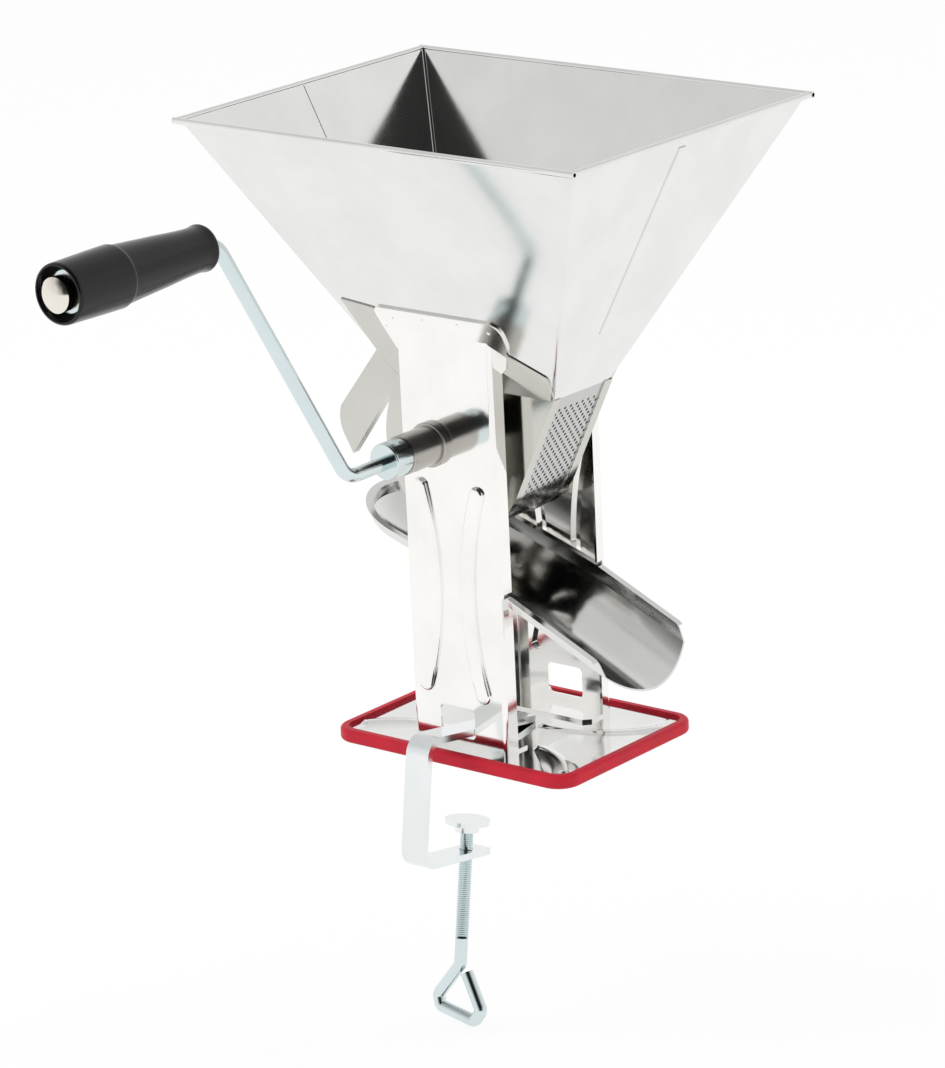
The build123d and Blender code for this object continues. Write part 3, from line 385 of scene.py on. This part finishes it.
# --- Rotor --------------------------------------------------------------------------------------
# The paddles press the fruit against the screen. They and their hub are white moulded plastic.
def plastic(name, colour, roughness):
    """Moulded plastic with a very fine surface texture."""
    material = bpy.data.materials.new(name)
    material.use_nodes = True
    tree = material.node_tree
    shader = tree.nodes["Principled BSDF"]
    place = add_node(tree, "ShaderNodeTexCoord")
    uneven = add_node(tree, "ShaderNodeTexNoise", Scale=70.0, Detail=4.0)
    join(tree, place, "Object", uneven, "Vector")
    tone = ramp(tree, [(0.3, tuple(channel * 0.9 for channel in colour)), (0.7, colour)])
    join(tree, uneven, "Fac", tone, "Fac")
    join(tree, tone, "Color", shader, "Base Color")
    gloss = add_node(tree, "ShaderNodeMapRange", To_Min=roughness * 0.75, To_Max=roughness * 1.3)
    join(tree, uneven, "Fac", gloss, "Value")
    join(tree, gloss, "Result", shader, "Roughness")
    bump = add_node(tree, "ShaderNodeBump", Strength=0.05, Distance=0.0005)
    join(tree, uneven, "Fac", bump, "Height")
    join(tree, bump, "Normal", shader, "Normal")
    return material


white_plastic = plastic("white rotor plastic", (0.82, 0.82, 0.78), 0.4)
for node in ("rotor_hub", "paddle_1", "paddle_2", "paddle_3", "paddle_4"):
    finished(node, "crank", f"{node}_moulding", white_plastic)

# --- Crank --------------------------------------------------------------------------------------
# A round rod, bent twice and bright zinc plated, is crimped to the shaft in a zinc collar.
zinc = metal("bright zinc plating", (0.70, 0.79, 0.80), 0.12, 0.04, 0.12)
for node in ("rotor_shaft", "crank_collar", "crank_rod", "grip_washer"):
    finished(node, "crank", f"{node}_zinc", zinc)

# --- Grip ---------------------------------------------------------------------------------------
# A turned black grip runs on the rod, hollow at its outer end, where a domed nickel cap holds it.
AXIS_X = -0.0135
AXIS_Z = 0.1836
CRANK_RADIUS = 0.145
CRANK_ANGLE = radians(101.9)
GRIP_AXIS_X = AXIS_X + CRANK_RADIUS * cos(CRANK_ANGLE)
GRIP_AXIS_Z = AXIS_Z + CRANK_RADIUS * sin(CRANK_ANGLE)
GRIP_INNER_Y = -0.1917
GRIP_TURNS = 96
# Radius, and distance from the end beside the crank: lip, neck, taper, step, swell, rim and recess.
GRIP_PROFILE = (
    (0.0041, 0.0000), (0.0111, 0.0000), (0.0120, 0.0003), (0.0127, 0.0009), (0.0131, 0.0018),
    (0.0131, 0.0026), (0.0128, 0.0041), (0.0125, 0.0058), (0.0125, 0.0098), (0.0128, 0.0166),
    (0.0134, 0.0253), (0.0142, 0.0350), (0.0149, 0.0456), (0.0157, 0.0572), (0.0164, 0.0668),
    (0.0167, 0.0695), (0.0168, 0.0699), (0.0175, 0.0711), (0.0175, 0.0721), (0.0173, 0.0870),
    (0.0170, 0.1010), (0.0168, 0.1104), (0.0167, 0.1116), (0.0163, 0.1124), (0.0156, 0.1128),
    (0.0150, 0.1127), (0.0148, 0.1122), (0.0148, 0.1048), (0.0041, 0.1048),
)

grip_black = plastic("gloss black grip", (0.006, 0.006, 0.007), 0.20)
grip_black.node_tree.nodes["Principled BSDF"].inputs["Specular IOR Level"].default_value = 0.35
nickel = metal("nickel cap", (0.86, 0.82, 0.74), 0.12, 0.02, 0.02)
turning = bmesh.new()
ring = [turning.verts.new((GRIP_AXIS_X + radius, GRIP_INNER_Y - along, GRIP_AXIS_Z))
        for radius, along in GRIP_PROFILE]
lines = [turning.edges.new((one, other)) for one, other in zip(ring, ring[1:] + ring[:1])]
bmesh.ops.spin(turning, geom=ring + lines, cent=(GRIP_AXIS_X, 0, GRIP_AXIS_Z), axis=(0, 1, 0),
               angle=2 * pi, steps=GRIP_TURNS, use_merge=True)
bmesh.ops.recalc_face_normals(turning, faces=turning.faces)
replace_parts(placed(turning, "grip", "grip_handle", grip_black, 38.0), "grip")
finished("grip_cap", "crank", "grip_cap_dome", nickel)

# --- Clamp --------------------------------------------------------------------------------------
# A flat bar bent to a C reaches through the leg's window; its screw is a rod with a rolled thread,
# bent to a triangular handle, with a round pad on top. The bar and pad are plated a little paler.
clamp_zinc = metal("pale zinc plating", (0.86, 0.89, 0.89), 0.14, 0.04, 0.12)
for node, body in (("clamp_bar", "clamp"), ("clamp_pad", "pad")):
    finished(node, body, f"{node}_zinc", clamp_zinc)

CLAMP_TILT = radians(8.5)
SCREW_UP = Vector((0.0, sin(CLAMP_TILT), cos(CLAMP_TILT)))
CLAMP_TIP = Vector((0.0, 0.0095, 0.00605))
SCREW_AT = 0.0484
SCREW_FOOT = CLAMP_TIP + SCREW_AT * Vector((0.0, -cos(CLAMP_TILT), sin(CLAMP_TILT)))
THREAD_LOW = -0.1209
THREAD_TOP = -0.0543
THREAD_PITCH = 0.00125
THREAD_STEPS = 20
THREAD_ROOT = 0.00325
THREAD_CREST = 0.00390

screw = as_built("clamp_screw")
cut = bmesh.ops.bisect_plane(
    screw, geom=screw.verts[:] + screw.edges[:] + screw.faces[:],
    plane_co=SCREW_FOOT + THREAD_LOW * SCREW_UP, plane_no=SCREW_UP, clear_outer=True,
)
rim = [item for item in cut["geom_cut"] if isinstance(item, bmesh.types.BMEdge)]
bmesh.ops.contextual_create(screw, geom=rim)
turns = int((THREAD_TOP - THREAD_LOW) / THREAD_PITCH) - 1
profile = ((THREAD_ROOT, 0.0), (THREAD_CREST, 0.4), (THREAD_CREST, 0.6), (THREAD_ROOT, 1.0))
tooth = [
    screw.verts.new(SCREW_FOOT + (THREAD_LOW + along * THREAD_PITCH) * SCREW_UP + Vector((radius, 0, 0)))
    for radius, along in profile
]
flanks = [screw.edges.new(pair) for pair in zip(tooth, tooth[1:])]
before = set(screw.faces)
bmesh.ops.spin(screw, geom=tooth + flanks, cent=SCREW_FOOT, axis=SCREW_UP, angle=2 * pi * turns,
               dvec=SCREW_UP * THREAD_PITCH / THREAD_STEPS, steps=turns * THREAD_STEPS)
thread = [face for face in screw.faces if face not in before]
screw.normal_update()
middle = thread[len(thread) // 2]
outwards = middle.calc_center_median() - SCREW_FOOT
outwards -= outwards.dot(SCREW_UP) * SCREW_UP
if middle.normal.dot(outwards) < 0:
    bmesh.ops.reverse_faces(screw, faces=thread)
thread_points = list({corner for face in thread for corner in face.verts})
bmesh.ops.remove_doubles(screw, verts=thread_points, dist=MERGE)
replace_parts(placed(screw, "screw", "clamp_screw_zinc", zinc), "clamp_screw")
